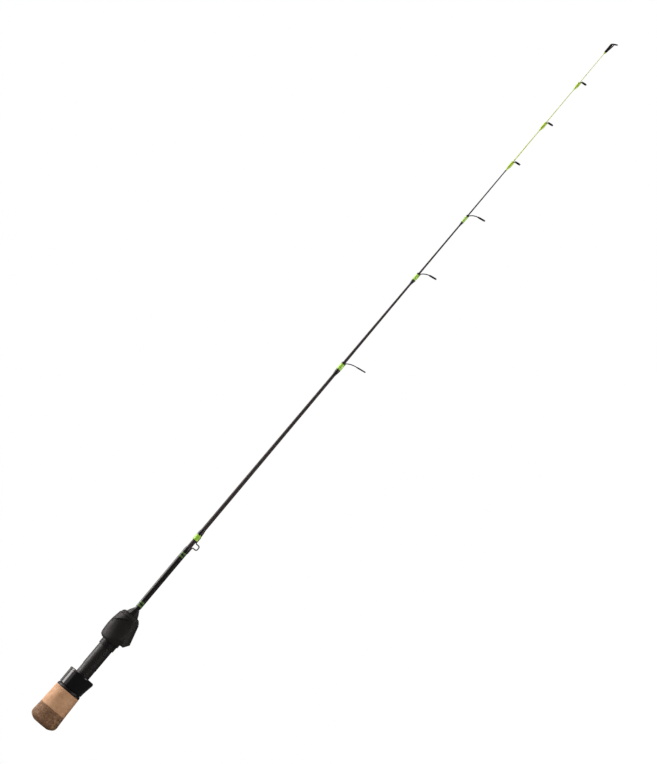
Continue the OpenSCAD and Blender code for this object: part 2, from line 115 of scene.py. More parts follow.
class Finish:
    """A material built from nodes, on one Principled shader."""

    def __init__(self, name):
        self.material = bpy.data.materials.new(name)
        self.material.use_nodes = True
        self.tree = self.material.node_tree
        self.shader = self.tree.nodes["Principled BSDF"]
        self.place = self.node("ShaderNodeTexCoord", {}, {}, "Object")
        self.x = self.node("ShaderNodeSeparateXYZ", {}, {0: self.place})
        parts = self.x.socket.node.outputs
        self.y, self.z = Field(self, parts["Y"]), Field(self, parts["Z"])

    def plug(self, socket, value):
        """Links a field to a socket, or sets the socket to a plain value."""
        if isinstance(value, Field):
            self.tree.links.new(value.socket, socket)
        else:
            socket.default_value = value

    def node(self, kind, settings, plugs, output=0):
        """Adds a node with its settings, then the values or fields of its sockets, and returns an output."""
        made = self.tree.nodes.new(kind)
        for name, value in settings.items():
            if name == "stops":
                ramp = made.color_ramp
                while len(ramp.elements) < len(value):
                    ramp.elements.new(0.5)
                for element, (position, colour) in zip(ramp.elements, value):
                    element.position = position
                    element.color = (*colour, 1)
            else:
                setattr(made, name, value)
        for key, value in plugs.items():
            self.plug(made.inputs[key], value)
        return Field(self, made.outputs[output])

    def turns(self, pitch):
        """The angle of a helix about the rod's axis, in radians, for a pitch in millimetres."""
        return self.x * (2 * math.pi / (pitch * MM)) + self.y.maths("ARCTAN2", self.z)

    def stretched(self, along, across):
        """The place, scaled along the rod and across it, in cells per metre."""
        return self.node(
            "ShaderNodeVectorMath", {"operation": "MULTIPLY"}, {0: self.place, 1: (along, across, across)}
        )

    def noise(self, scale, detail=3.0, roughness=0.55, place=None):
        plugs = {"Vector": place or self.place, "Scale": scale, "Detail": detail, "Roughness": roughness}
        return self.node("ShaderNodeTexNoise", {}, plugs)

    def cells(self, scale, feature="F1", output="Distance", place=None):
        plugs = {"Vector": place or self.place, "Scale": scale}
        return self.node("ShaderNodeTexVoronoi", {"feature": feature}, plugs, output)

    def chance(self, scale):
        """A random value of 0 to 1 for each cell."""
        return self.node("ShaderNodeSeparateColor", {}, {0: self.cells(scale, output="Color")})

    def ramp(self, value, *stops):
        return self.node("ShaderNodeValToRGB", {"stops": stops}, {0: value})

    def mixed(self, share, first, second):
        """first where share is 0, second where it is 1: both are colours."""
        first, second = (c if isinstance(c, Field) else (*c, 1) for c in (first, second))
        return self.node("ShaderNodeMix", {"data_type": "RGBA"}, {0: share, 6: first, 7: second}, 2)

    def relief(self, height, depth):
        """A bumped normal from a height of 0 to 1, depth in thousandths of a millimetre."""
        plugs = {"Height": height, "Distance": depth * MICRON, "Strength": 1.0}
        return self.node("ShaderNodeBump", {}, plugs)

    def surface(self, **plugs):
        """Sets the shader's own sockets, whose names are written with underscores."""
        for name, value in plugs.items():
            if isinstance(value, tuple):
                value = (*value, 1)
            self.plug(self.shader.inputs[name.replace("_", " ")], value)
        return self.material


# ---------------------------------------------------------------- finishes


def linear(*srgb):
    """A colour given as it is seen, 0 to 255, as the shader's own values."""
    return tuple((c / 255 / 12.92) if c < 10.3 else ((c / 255 + 0.055) / 1.055) ** 2.4 for c in srgb)


def light_cork():
    """Fine natural cork: warm tan, cloudy, with small dark pores lying across the rod."""
    f = Finish("light_cork")
    clouds = f.noise(160, 4)
    grain = f.noise(1400, 3)
    pores = 1 - f.cells(900, place=f.stretched(1.7, 0.8)).rise(0.12, 0.3)
    pores = pores * f.noise(420, 2).rise(0.5, 0.62)
    rings = (f.x * 5200 + f.noise(90) * 5).wave()
    tan = f.ramp(
        clouds * 0.6 + grain * 0.4,
        (0.3, linear(180, 134, 97)),
        (0.52, linear(205, 160, 122)),
        (0.72, linear(221, 181, 145)),
    )
    tan = f.mixed(rings * 0.12, tan, linear(176, 124, 80))
    colour = f.mixed(pores * 0.6, tan, linear(104, 66, 38))
    return f.surface(
        Base_Color=colour,
        Roughness=0.62 + grain * 0.16,
        Normal=f.relief(grain * 0.5 - pores, 220),
        Specular_IOR_Level=0.5,
    )


def burl_cork():
    """Pressed cork chips, dark brown to tan, bound and sanded flush."""
    f = Finish("burl_cork")
    chip = f.chance(1100)
    crumb = f.chance(2300)
    clouds = f.noise(320, 3, 0.5)
    colour = f.ramp(
        chip * 0.34 + crumb * 0.24 + clouds * 0.5,
        (0.25, linear(98, 70, 50)),
        (0.42, linear(124, 93, 68)),
        (0.62, linear(146, 112, 84)),
        (0.82, linear(176, 140, 108)),
    )
    seams = 1 - f.cells(1100, "DISTANCE_TO_EDGE").rise(0.01, 0.07)
    colour = f.mixed(seams * 0.25, colour, linear(78, 54, 37))
    return f.surface(
        Base_Color=colour,
        Roughness=0.6 + chip * 0.2,
        Normal=f.relief(f.noise(2200, 2) * 0.5 - seams * 0.6, 200),
        Specular_IOR_Level=0.3,
    )


def moulded(name, base, shine, grain_scale, grain_depth, wear=0.25, coat=0.0):
    """A moulded plastic: a fine spark-eroded grain, a cloudy shine and a few paler rubbed spots."""
    f = Finish(name)
    clouds = f.noise(120, 3)
    grain = f.noise(grain_scale, 2)
    rubbed = f.noise(60, 4, 0.65).rise(0.56, 0.75) * wear
    darker = tuple(c * 0.72 for c in base)
    paler = tuple(c * 1.9 + 0.012 for c in base)
    colour = f.mixed(rubbed, f.mixed(clouds * 0.5, base, darker), paler)
    return f.surface(
        Base_Color=colour,
        Roughness=(clouds * 0.1 + grain * 0.06 + (shine - 0.08)).clipped(),
        Normal=f.relief(grain, grain_depth),
        Coat_Weight=coat,
        Coat_Roughness=0.15,
    )


def barrel_moulding():
    """The seat's matte moulding, with the mould's parting ledge along each side: a bumped groove whose band
    is darkened with painted shade.
    """
    f = Finish("barrel_moulding")
    clouds = f.noise(140, 3)
    grain = f.noise(4200, 2)
    ledge_groove_and_shade = f.z.band(-1.75 * MM, -1.35 * MM, 0.12 * MM)
    base = linear(28, 26, 25)
    colour = f.mixed(clouds * 0.6, base, linear(20, 19, 18))
    # Painted shade: the colour is darkened along the ledge's band as if shade lay in its groove, and the same
    # band bumps the groove.
    colour = f.mixed(ledge_groove_and_shade * 0.7, colour, linear(17, 16, 16))
    return f.surface(
        Base_Color=colour,
        Roughness=0.42 + clouds * 0.1,
        Normal=f.relief(grain * 0.05 - ledge_groove_and_shade, 100),
        Specular_IOR_Level=0.9,
    )


def soft_grip():
    """Charcoal soft-touch coating: velvety, slightly blotched, rubbed paler where fingers sit."""
    f = Finish("soft_grip")
    clouds = f.noise(95, 4)
    grain = f.noise(3000, 2)
    rubbed = f.noise(180, 5, 0.7).rise(0.5, 0.8)
    base = f.mixed(clouds, linear(26, 24, 24), linear(34, 31, 30))
    colour = f.mixed(rubbed * 0.3, base, linear(48, 44, 43))
    return f.surface(
        Base_Color=colour,
        Roughness=0.46 + clouds * 0.14,
        Normal=f.relief(grain * 0.4 + clouds * 0.6, 12),
        Sheen_Weight=0.02,
        Sheen_Roughness=0.4,
    )


def wound(name, thread, shadow, pitch):
    """Thread wound close round the rod, its pitch in millimetres, and flooded with clear varnish."""
    f = Finish(name)
    ridge = f.turns(pitch).wave()
    fuzz = f.noise(2600, 3, place=f.stretched(0.4, 1.0))
    colour = f.mixed((ridge * 0.75 + fuzz * 0.35).clipped(), shadow, thread)
    ripple = f.noise(260, 2)
    return f.surface(
        Base_Color=colour,
        Roughness=0.34 + fuzz * 0.14,
        Normal=f.relief(ridge * 0.3 + ripple * 0.7, 20),
        Coat_Weight=1.0,
        Coat_Roughness=0.04,
        Coat_IOR=1.5,
    )


def carbon_blank():
    """A ground carbon blank: faint spiral tape marks over dark satin fibre."""
    f = Finish("carbon_blank")
    spiral = f.turns(1.6).wave()
    fibre = f.noise(900, 3, place=f.stretched(0.06, 2.2))
    colour = f.mixed((fibre * 0.7 + spiral * 0.3).clipped(), linear(34, 29, 29), linear(64, 56, 55))
    return f.surface(
        Base_Color=colour,
        Roughness=0.42 + fibre * 0.12,
        Normal=f.relief(spiral * 0.6 + fibre * 0.4, 12),
        Coat_Weight=0.1,
        Coat_Roughness=0.3,
    )


def tip_paint():
    """Lime paint on a solid glass-fibre tip, a little uneven under its gloss."""
    f = Finish("tip_paint")
    run = f.noise(340, 3, place=f.stretched(0.35, 1.0))
    colour = f.mixed(run, linear(186, 212, 36), linear(206, 228, 66))
    return f.surface(
        Base_Color=colour,
        Roughness=0.26 + run * 0.1,
        Normal=f.relief(run, 30),
        Coat_Weight=0.6,
        Coat_Roughness=0.08,
    )


def plated_wire(name, base, bright, shine):
    """Drawn steel wire with a thin plated colour, scuffed bright in places."""
    f = Finish(name)
    drawn = f.noise(3800, 2)
    scuffs = f.noise(700, 4, 0.7).rise(0.6, 0.78)
    darker = tuple(c * 0.7 for c in base)
    colour = f.mixed(scuffs * 0.5, f.mixed(drawn * 0.6, base, darker), bright)
    return f.surface(
        Base_Color=colour,
        Metallic=0.55 + scuffs * 0.45,
        Roughness=shine + drawn * 0.12,
        Normal=f.relief(drawn, 20),
    )


def ring_ceramic():
    """Polished dark ceramic with a faint crystalline mottle."""
    f = Finish("ring_ceramic")
    mottle = f.cells(5200)
    cloud = f.noise(900, 3)
    colour = f.mixed(cloud * 0.6 + mottle * 0.4, linear(40, 32, 31), linear(74, 62, 60))
    return f.surface(
        Base_Color=colour,
        Roughness=0.07 + cloud * 0.08,
        Normal=f.relief(cloud, 10),
        Coat_Weight=0.5,
        Coat_Roughness=0.03,
    )


def arbor_foam():
    """Rigid grey foam with open cells."""
    f = Finish("arbor_foam")
    cells = f.cells(2600)
    colour = f.mixed(cells, linear(92, 90, 84), linear(150, 146, 138))
    return f.surface(Base_Color=colour, Roughness=0.85 + cells * 0.1, Normal=f.relief(cells, 120))


# ---------------------------------------------------------------- mesh work


def mesh_piece(name, points, faces, crease=32):
    """A smooth-shaded object from points in metres, kept sharp where faces meet at over crease degrees."""
    mesh = bpy.data.meshes.new(name)
    mesh.from_pydata([tuple(p) for p in points], [], faces)
    mesh.validate()
    mesh.update()
    mesh.shade_smooth()
    mesh.set_sharp_from_angle(angle=math.radians(crease))
    piece = bpy.data.objects.new(name, mesh)
    bpy.context.scene.collection.objects.link(piece)
    return piece


def loft(name, rings, closed=False, crease=32):
    """Skins a list of rings of equal length; the ends are capped unless the loft closes on itself."""
    n = len(rings[0])
    last = (len(rings) - 1) * n
    points = [p for ring in rings for p in ring]
    spans = len(rings) if closed else len(rings) - 1
    faces = []
    for i in range(spans):
        j = (i + 1) % len(rings)
        for k in range(n):
            m = (k + 1) % n
            faces.append((i * n + k, i * n + m, j * n + m, j * n + k))
    if not closed:
        faces.append(tuple(range(n - 1, -1, -1)))
        faces.append(tuple(last + k for k in range(n)))
    return mesh_piece(name, points, faces, crease)


def eased(corners, steps=6):
    """A closed profile of (x, r, fillet) corners with each corner rounded to its fillet, as (x, r) points."""
    out = []
    count = len(corners)
    for i, (x, r, fillet) in enumerate(corners):
        here = Vector((x, r))
        if not fillet:
            out.append(here)
            continue
        before = Vector(corners[i - 1][:2]) - here
        after = Vector(corners[(i + 1) % count][:2]) - here
        cut = min(fillet, before.length * 0.48, after.length * 0.48)
        start = here + before.normalized() * cut
        end = here + after.normalized() * cut
        for s in range(steps + 1):
            t = s / steps
            out.append(start * (1 - t) ** 2 + here * 2 * t * (1 - t) + end * t * t)
    return out


def turned(name, corners, sides=160, dents=None, matrix=None):
    """Turns a closed profile of (x, r, fillet) corners, in millimetres, about the rod's axis."""
    rings = []
    for x, r in eased(corners):
        ring = []
        for k in range(sides):
            a = 2 * math.pi * k / sides
            radius = r + (dents(x, a) if dents and r > 1 else 0)
            ring.append(Vector((x, radius * math.sin(a), radius * math.cos(a))) * MM)
        rings.append(ring)
    piece = loft(name, rings, closed=True)
    if matrix:
        piece.data.transform(matrix)
    return piece


def between(a, b, c, d, t):
    """The Catmull-Rom curve from b to c, at a share t of the way."""
    return (b * 2 + (c - a) * t + (a * 2 - b * 5 + c * 4 - d) * t**2 + (b * 3 - a - c * 3 + d) * t**3) / 2


def smooth_path(knots, per_span=8):
    """Points along a smooth curve through the knots."""
    ends = [knots[0] * 2 - knots[1], *knots, knots[-1] * 2 - knots[-2]]
    path = []
    for i in range(1, len(ends) - 2):
        path += [between(*ends[i - 1 : i + 3], s / per_span) for s in range(per_span)]
    return path + [knots[-1]]


def wire(name, knots, radius, sides=20, per_span=8):
    """Round wire bent through the knots, in millimetres, with domed ends."""
    path = smooth_path([Vector(k) for k in knots], per_span)
    last = len(path) - 1
    dome = [(-1.0, 0.15), (-0.8, 0.6), (-0.4, 0.92)]
    turn = [2 * math.pi * k / sides for k in range(sides)]
    rings = []
    side = None
    for i, point in enumerate(path):
        ahead = (path[min(i + 1, last)] - path[max(i - 1, 0)]).normalized()
        if side is None:
            side = ahead.orthogonal() if abs(ahead.y) > 0.9 else ahead.cross((0, 1, 0))
        side = (side - ahead * side.dot(ahead)).normalized()
        up = side.cross(ahead)
        sections = [(0.0, 1.0)]
        if i == 0:
            sections = dome + sections
        if i == last:
            sections = sections + [(-push, width) for push, width in reversed(dome)]
        for push, width in sections:
            centre = point + ahead * push * radius
            thick = radius * width
            rings.append([(centre + (side * math.cos(a) + up * math.sin(a)) * thick) * MM for a in turn])
    return loft(name, rings, crease=50)


def joined(name, *pieces):
    """One object from several."""
    bpy.ops.object.select_all(action="DESELECT")
    for piece in pieces:
        piece.select_set(True)
    bpy.context.view_layer.objects.active = pieces[0]
    bpy.ops.object.join()
    pieces[0].name = name
    pieces[0].data.name = name
    return pieces[0]


def box_mm(node):
    """A CAD node's lowest and highest corners, in millimetres."""
    low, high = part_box(node)
    return low / MM, high / MM


def fit(piece, material, body, slot, *nodes):
    """Gives a finished piece its material and its place in the model."""
    piece.data.materials.clear()
    piece.data.materials.append(material)
    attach(piece, body)
    if nodes:
        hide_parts(*nodes)


def faced(node, material):
    """Gives a CAD node its material."""
    mesh = NODES[node].data
    mesh.materials.clear()
    mesh.materials.append(material)


# ---------------------------------------------------------------- the cork knob


def pitted(seed, depth):
    """Small pores and slow waviness in a sanded cork surface, as a change of radius, never outward."""

    def change(x, a):
        at = Vector((x * 0.9 + seed, 12 * math.sin(a), 12 * math.cos(a)))
        pore = max(0.0, noise.noise(at * 1.1) - 0.42) * 2.2
        return noise.noise(at * 0.12) * 0.06 - 0.07 - depth * pore

    return change


def straight(x0, r0, x1, r1, steps):
    """Evenly spaced profile points strictly between two others."""
    return [(x0 + (x1 - x0) * i / steps, r0 + (r1 - r0) * i / steps, 0) for i in range(1, steps)]


def cork_knob(cork, burl):
    """The two glued cork pieces of the butt knob."""
    cap_end = box_mm("butt_cap")[1]
    ring_end = box_mm("cork_grip")[1]
    seam, front = cap_end.x, ring_end.x
    cap_radius, waist = cap_end.z, cap_end.z - 0.55
    face, shoulder = 6.9, 6.6
    cap = [(0, 0.01, 0)]
    for i in range(19):
        share = i / 18
        cap.append((shoulder * share, face + (cap_radius - face) * (1 - (1 - share) ** 3.2), 0))
    cap += [*straight(shoulder, cap_radius, seam, waist, 14), (seam, waist, 0.12), (seam, 0.01, 0)]
    piece = turned("burl_cap", cap, dents=pitted(3.0, 0.16))
    fit(piece, burl, "knob", "burl_cork", "butt_cap")

    bore, rear_radius, front_radius = 8.0, ring_end.z, 11.2
    ring = [(seam, bore, 0), (seam, rear_radius, 0.12)]
    ring += straight(seam, rear_radius, front, front_radius, 30)
    ring += [(front, front_radius, 0.15), (front, bore, 0)]
    piece = turned("cork_ring", ring, dents=pitted(9.0, 0.12))
    fit(piece, cork, "knob", "cork", "cork_grip")


def knob_flange(black):
    """The nut's moulding: its flange shows between the cork and the hood, and its lip holds the snap ring."""
    low, high = box_mm("knob_nut")
    seam = box_mm("cork_grip")[1].x
    rear, front, rim = low.x, high.x, high.z
    neck, well, mouth = 8.0, 6.45, 6.95
    outline = [
        (rear, 0.01, 0),
        (rear, neck, 0),
        (seam, neck, 0),
        (seam, rim - 0.25, 0.12),
        (seam + 0.45, rim, 0.3),
        (front - 3.6, rim - 0.38, 0.3),
        (front - 3.0, rim - 0.9, 0.35),
        (front - 3.0, neck, 0),
        (front - 1.3, neck, 0),
        (front - 1.3, 8.9, 0.1),
        (front, 8.5, 0.2),
        (front, mouth, 0),
        (front - 4.6, mouth, 0),
        (front - 4.9, well, 0),
        (rear + 0.8, well, 0),
        (rear + 0.8, 0.01, 0),
    ]
    piece = turned("knob_flange", outline, sides=192)
    fit(piece, black, "knob", "knob_black", "knob_nut")


# ---------------------------------------------------------------- the reel seat


SEAT_DROP = 0.5  # how far the seat's middle lies below the rod's, towards the reel
NOSE_BORE = 2.1  # the hole for the blank through the grip's ring and nose


def reach(angle, centre, radius):
    """How far a circle centred at height centre reaches from the axis, at an angle from the top."""
    toward = math.cos(angle) * centre
    inside = toward**2 - centre**2 + radius**2
    return toward + math.sqrt(inside) if inside > 0 else 0.0


def softer_max(a, b, sharpness):
    """The larger of two values, with the corner between them rounded."""
    return math.log(math.exp(sharpness * (a - b)) + 1) / sharpness + b


def polar_loft(name, sections, sides=224, crease=32):
    """Skins closed sections of (x, radius at an angle from the top), in millimetres."""
    rings = []
    for x, radius in sections:
        ring = []
        for k in range(sides):
            a = 2 * math.pi * k / sides
            r = radius(a)
            ring.append(Vector((x, r * math.sin(a), r * math.cos(a))) * MM)
        rings.append(ring)
    return loft(name, rings, closed=True, crease=crease)


def plain(radius):
    """A round section on the rod's own axis."""
    return lambda a: radius


def low_round(radius):
    """A round section on the seat's axis."""
    return lambda a: reach(a, -SEAT_DROP, radius)


def hood_key(front, bore):
    """The key on top of the hood's bore, which slides in the barrel's keyway."""
    half, tall = 1.05, 0.75
    top = bore - SEAT_DROP
    rings = []
    for back_from_front, chamfer in ((6.6, 0.25), (6.3, 0.0), (0.5, 0.0), (0.2, 0.25)):
        side, base, root = half - chamfer, top - tall + chamfer, top + 0.4
        corners = [(-side, base), (side, base), (side, root), (-side, root)]
        rings.append([Vector((front - back_from_front, y, z)) * MM for y, z in corners])
    return loft("key", rings)


def hood_shell(gloss):
    """The sliding hood: a round body flaring into a tunnel for the reel's foot, with a rolled lip."""
    low, high = box_mm("rear_hood")
    rear, front = low.x, high.x
    body = high.z - 0.2
    bore, well, wall = 6.22, 9.3, 1.15
    flare_start, flare_length = rear + 0.6, 16.6
    well_end, tunnel_end = rear + 3.6, rear + 4.8

    def flare(x):
        """The height of the flare's middle and its outer radius."""
        share = (x - flare_start) / flare_length
        return -0.1 - 6.85 * share, 10.16 - 3.91 * share

    def outer(x, change=0.0, below=0.0):
        centre, radius = flare(max(x, flare_start))
        return lambda a: softer_max(body, reach(a, centre, radius - below), 3.2) + change

    def tunnel(x, change=0.0):
        centre, radius = flare(x)
        return lambda a: softer_max(reach(a, -SEAT_DROP, bore), reach(a, centre, radius - wall), 6.0) + change

    sections = [(rear, plain(well))]
    for x, change in ((0, -0.55), (0.06, -0.34), (0.22, -0.14), (0.5, -0.03)):
        sections.append((rear + x, outer(rear, change)))
    steps = 16
    start, stop = rear + 0.7, front - 1.9
    for i in range(steps):
        x = start + (stop - start) * i / steps
        sections.append((x, outer(x)))
    # The rolled lip: distance behind the mouth, swelling all round, and how far its underside draws in
    rolled = [(1.9, 0, 0), (1.72, 0.02, 0.03), (1.6, 0.1, 0.12), (1.45, 0.19, 0.25), (1.2, 0.22, 0.38)]
    rolled += [(0.8, 0.22, 0.56), (0.45, 0.15, 0.76), (0.16, 0, 0.94), (0, -0.3, 1.0)]
    sections += [(front - back, outer(front - back, swell, below)) for back, swell, below in rolled]
    sections += [(front, tunnel(front, 0.3)), (front - 0.1, tunnel(front, 0.09))]
    sections += [(front - back, tunnel(front - back)) for back in (0.35, 2, 4, 6, 8)]
    sections.append((tunnel_end, tunnel(tunnel_end)))
    sections += [(tunnel_end, low_round(bore)), (well_end, low_round(bore)), (well_end, plain(well))]
    shell = polar_loft("hood_shell", sections)
    fit(joined("hood_shell", shell, hood_key(front, bore)), gloss, "hood", "hood_gloss", "rear_hood")


def threaded_stub(rear, front, bore):
    """The stub that the knob's nut runs on, its thread drawn as rings one pitch apart."""
    root, crest, pitch = 5.0, 5.5, 2.0
    profile = [(rear, bore, 0), (rear, root, 0)]
    x = rear + 0.6
    while x < front - pitch:
        profile += [(x, root, 0), (x + 0.5, crest, 0.1), (x + 0.9, crest, 0.1), (x + 1.4, root, 0)]
        x += pitch
    return turned("stub", profile + [(front, root, 0), (front, bore, 0)], sides=96)


def seat_barrel(matte):
    """The barrel the reel's foot lies on, its keyway, and the threaded stub behind it inside the knob."""
    low, high = box_mm("seat_barrel")
    bore, track, body = 3.6, 6.16, high.y
    rear, shoulder = 44.0, 60.0
    slot_half, slot_floor = 1.2, 4.55

    def slotted(radius):
        def section(a):
            r = reach(a, -SEAT_DROP, radius)
            in_slot = abs(r * math.sin(a)) < slot_half and math.cos(a) > 0
            return slot_floor / math.cos(a) if in_slot else r

        return section

    sections = [(rear, plain(bore)), (rear, slotted(5.4)), (rear + 0.6, slotted(track))]
    sections += [(rear + 1.5 * i, slotted(track)) for i in range(1, 10)]
    sections += [(shoulder - 0.25, slotted(track)), (shoulder - 0.2, low_round(track))]
    sections += [(shoulder, low_round(track)), (shoulder + 0.12, low_round(body - 0.03))]
    sections += [(shoulder + 0.3 + 2.3 * i, low_round(body)) for i in range(17)]
    sections += [(high.x, low_round(body)), (high.x, plain(bore))]
    skin = polar_loft("barrel_skin", sections)
    stub = threaded_stub(low.x, rear, bore)
    fit(joined("seat_barrel_skin", skin, stub), matte, "rod", "seat_matte", "seat_barrel")


def seat_collar(matte):
    """The stepped collar where the barrel enters the front grip."""
    low, high = box_mm("seat_collar")
    radius, bore = high.y, 5.6
    outline = [
        (low.x, bore, 0),
        (low.x, radius, 0.35),
        (low.x + 0.9, radius, 0.1),
        (low.x + 1.1, radius - 0.15, 0.1),
        (low.x + 1.35, radius, 0.1),
        (high.x, radius, 0),
        (high.x, bore, 0),
    ]
    lowered = Matrix.Translation((0, 0, (low.z + high.z) / 2 * MM))
    piece = turned("grip_collar", outline, matrix=lowered)
    fit(piece, matte, "rod", "seat_matte", "seat_collar")


def evened(name, node, voxel, rounds):
    """A finely and evenly meshed copy of a CAD node, with its edges softened."""
    piece = bpy.data.objects.new(name, NODES[node].data.copy())
    bpy.context.scene.collection.objects.link(piece)
    even = piece.modifiers.new("even", "REMESH")
    even.mode = "VOXEL"
    even.voxel_size = voxel * MM
    soften = piece.modifiers.new("soften", "SMOOTH")
    soften.factor = 0.5
    soften.iterations = rounds
    graph = bpy.context.evaluated_depsgraph_get()
    mesh = bpy.data.meshes.new_from_object(piece.evaluated_get(graph))
    piece.modifiers.clear()
    piece.data = mesh
    mesh.shade_smooth()
    return piece


def step(low, high, value):
    """0 below low, 1 above high, smooth between."""
    t = min(1.0, max(0.0, (value - low) / (high - low)))
    return t * t * (3 - 2 * t)


# Half the width between the finger panels at even heights, from the top of the grip down,
# at the panels' rear and front ends
PANEL_TOP, PANEL_STEP = 12.8, 2.4
PANEL_REAR = [-1.0, 2.9, 5.7, 7.5, 8.75, 9.5, 9.85, 9.9, 9.6, 9.2, 9.0, 9.0, 9.0]
PANEL_FRONT = [0.2, 3.7, 6.1, 7.35, 8.1, 8.45, 8.5, 8.4, 8.15, 7.9, 7.7, 7.7, 7.7]


def panel_half_width(along, z):
    """How far the scooped finger panel lies from the grip's middle plane."""
    share = min(1.15, max(-0.3, (along - 5.9) / 11.2))
    widths = [rear + (front - rear) * share for rear, front in zip(PANEL_REAR, PANEL_FRONT)]
    at = min(len(widths) - 2.001, max(1.0, (PANEL_TOP - z) / PANEL_STEP))
    i = int(at)
    return between(*widths[i - 1 : i + 2], widths[min(i + 2, len(widths) - 1)], at - i)


def carved(along, y, z):
    """Where a point on the grip's side goes as its shoulder and finger panel are cut: its new y and z."""
    below_top = max(0.0, 9.6 - z)
    on_side = step(-12.0, -7.0, z)
    # The panel ends in an arc that curls round from the top and fades below the middle
    arc = 14.7 + 9.3 * min(1.0, below_top / 12) ** 0.5
    fade = 0.45 + 0.4 * max(0.0, 1.5 - z)
    # The shoulder ends where the finger panel starts, further forward lower down
    shoulder = 2.2 + 0.17 * below_top + 0.0075 * below_top**2
    if along < shoulder and z > -9.0:
        radius = 8.15 + 2.0 * (max(0.0, along) / shoulder) ** 0.72
        narrowed = 1 + (min(1.0, radius / math.hypot(y, z)) - 1) * step(-9.0, -5.0, z)
        y, z = y * narrowed, z * narrowed
    over = abs(y) - panel_half_width(along, z)
    cut = math.log(1 + math.exp(4 * over)) / 4 * step(3.0, 4.5, abs(y))
    cut *= on_side * (1 - step(arc - 0.6 * fade, arc + 0.8 * fade, along))
    # The front end comes in a little over the top, to meet the ring
    lowered = 1 - 0.045 * step(21.0, 24.9, along) * step(0.0, 5.0, z)
    return math.copysign(abs(y) - cut, y), z * lowered


def front_grip(soft):
    """The egg-shaped grip: a tunnel mouth for the reel's foot below, a scooped finger panel on each side."""
    piece = evened("front_grip_shell", "front_grip", 0.22, 4)
    rear = box_mm("front_grip")[0].x
    middle_strip, bores = 3, 7.7
    for vertex in piece.data.vertices:
        x, y, z = vertex.co / MM
        if abs(y) >= middle_strip and math.hypot(y, z) >= bores:
            vertex.co = Vector((x, *carved(x - rear, y, z))) * MM
    fit(piece, soft, "rod", "grip_soft", "front_grip")


def grip_bevel(soft):
    """The grip's bevelled ring, with four small moulding notches."""
    low, high = box_mm("grip_ring")

    def bevelled(along, above, below):
        """A section of the ring: its height above the axis and its depth below."""
        notch = 0.5 * step(0.7, 1.1, along) * (1 - step(1.5, 1.9, along))

        def radius(a):
            cut = 0.0
            for centre in (-2.05, -0.72, 0.72, 2.05):
                off = (a - centre + math.pi) % (2 * math.pi) - math.pi
                cut = max(cut, 1 - (off / 0.1) ** 2)
            return above + (below - above) * (1 - math.cos(a)) / 2 - notch * cut

        return low.x + along, radius

    outline = [(0, 8.1, 8.5), (0.1, 8.3, 8.7), (0.3, 8.75, 9.3), (0.5, 8.72, 9.3), (0.75, 8.62, 9.15)]
    outline += [(1.0, 8.5, 9.0), (1.25, 8.42, 8.8), (1.5, 8.34, 8.6), (1.75, 8.26, 8.36), (2.0, 8.12, 8.12)]
    outline += [(2.2, 7.95, 7.95), (2.7, 7.5, 7.5), (3.2, 6.95, 6.95)]
    sections = [(low.x, plain(NOSE_BORE))] + [bevelled(*stop) for stop in outline]
    sections += [(high.x, plain(6.45)), (high.x, plain(NOSE_BORE))]
    fit(polar_loft("grip_bevel", sections, sides=256), soft, "rod", "grip_soft", "grip_ring")


def ring_studs(gloss):
    """A small polished stud in each notch of the ring."""
    station = Vector((box_mm("grip_ring")[0].x + 1.0, 0, 0))
    studs = []
    for height, radius in ((6.5, 8.35), (-3.9, 8.5)):
        for side in (-1, 1):
            outward = Vector((0, side * math.sqrt(radius**2 - height**2), height)) / radius
            ends = [station + outward * (radius - 0.9), station + outward * (radius - 0.32)]
            studs.append(wire("stud", ends, 0.5))
    fit(joined("ring_studs", *studs), gloss, "rod", "hood_gloss")


def nose_nut(matte):
    """The eight-sided cone that closes the grip round the blank."""
    low, high = box_mm("nose_cone")
    flat = math.pi / 4

    def eight(apothem):
        """An eight-sided section with its corners trimmed."""

        def radius(a):
            off = (a + flat / 2) % flat - flat / 2
            return min(apothem / math.cos(off), apothem * 1.065)

        return radius

    stops = [(0.0, 5.2), (0.12, 5.38), (0.5, 5.4), (1.8, 4.78), (3.4, 3.98), (5.0, 3.0), (5.7, 2.66)]
    stops.append((5.95, 2.5))
    sections = [(low.x, plain(NOSE_BORE))] + [(low.x + x, eight(r)) for x, r in stops]
    sections.append((high.x - 0.02, plain(NOSE_BORE)))
    piece = polar_loft("nose_nut", sections, sides=192, crease=14)
    fit(piece, matte, "rod", "seat_matte", "nose_cone")


# ---------------------------------------------------------------- threads


def underside(a):
    """1 straight below the rod, fading to 0 at its sides."""
    return max(0.0, -math.cos(a)) ** 6


def rounded_end(inward, radius):
    """The share of its full height that a quarter-round end has reached at a distance inward."""
    return math.sqrt(max(0.0, 1 - (1 - min(1.0, inward / radius)) ** 2))


def winding(name, x0, x1, r0, r1, body, thin, foot=0.0):
    """A wrap of thread, thinning at its rear end, swollen below where it covers a guide's foot."""
    thread = 0.07
    steps = 34

    def section(share):
        x = x0 + (x1 - x0) * share
        under = r0 + (r1 - r0) * share
        grown = step(0, thin, x - x0) if thin else 1.0
        end = rounded_end(x1 - x, 0.5)
        lift = (thread + (body - under - thread) * grown) * min(end, rounded_end(x - x0, 0.25))
        full = grown * end

        def radius(a):
            wave = 0.02 * noise.noise(Vector((x * 0.5, math.sin(a), math.cos(a))))
            return under + max(0.0, lift) + (foot * underside(a) + wave) * full

        return x, radius

    core = plain(min(r0, r1) - 0.15)
    sections = [(x0, core)] + [section(i / steps) for i in range(steps + 1)] + [(x1, core)]
    return polar_loft(name, sections, sides=72, crease=40)


